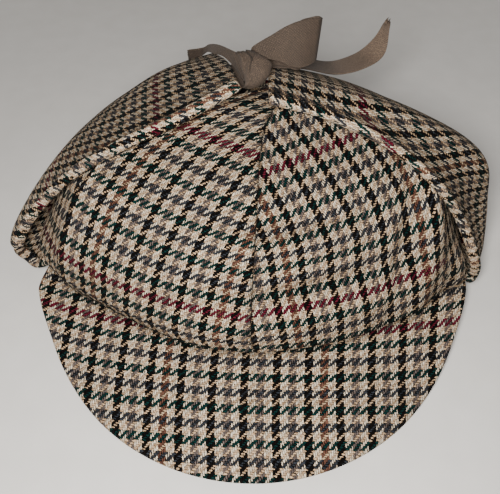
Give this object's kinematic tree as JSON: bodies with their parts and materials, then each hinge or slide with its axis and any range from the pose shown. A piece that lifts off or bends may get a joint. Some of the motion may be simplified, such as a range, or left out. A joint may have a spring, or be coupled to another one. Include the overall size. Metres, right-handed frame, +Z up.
{
  "type": "deerstalker hat",
  "caption": "Soft wool deerstalker hat with front and back peaks and ear flaps folded up and tied over the crown with a ribbon bow.",
  "frame": {"origin": "centre of the hat's outline in plan, on the surface that its peaks rest on", "axes": "-Y is the way the front peak points, +X is the hat's right as seen from in front of it, +Z is up from the peaks to the crown's top"},
  "size_m": [0.2668, 0.264, 0.1415],
  "materials": {
    "tweed": "matte twill-woven wool, houndstooth check with overchecks",
    "ribbon": "taupe brown grosgrain ribbon with a soft sheen"
  },
  "bodies": {
    "root": {"crown_front_left": "tweed", "crown_front_right": "tweed", "crown_side_left": "tweed", "crown_side_right": "tweed", "crown_back_left": "tweed", "crown_back_right": "tweed", "peak_front": "tweed", "peak_back": "tweed", "ear_flap_left": "tweed", "ear_flap_right": "tweed", "ribbon_knot": "ribbon", "ribbon_loop": "ribbon", "ribbon_tail_left": "ribbon", "ribbon_tail_right": "ribbon", "ribbon_tie_left": "ribbon"}
  },
  "joints": []
}
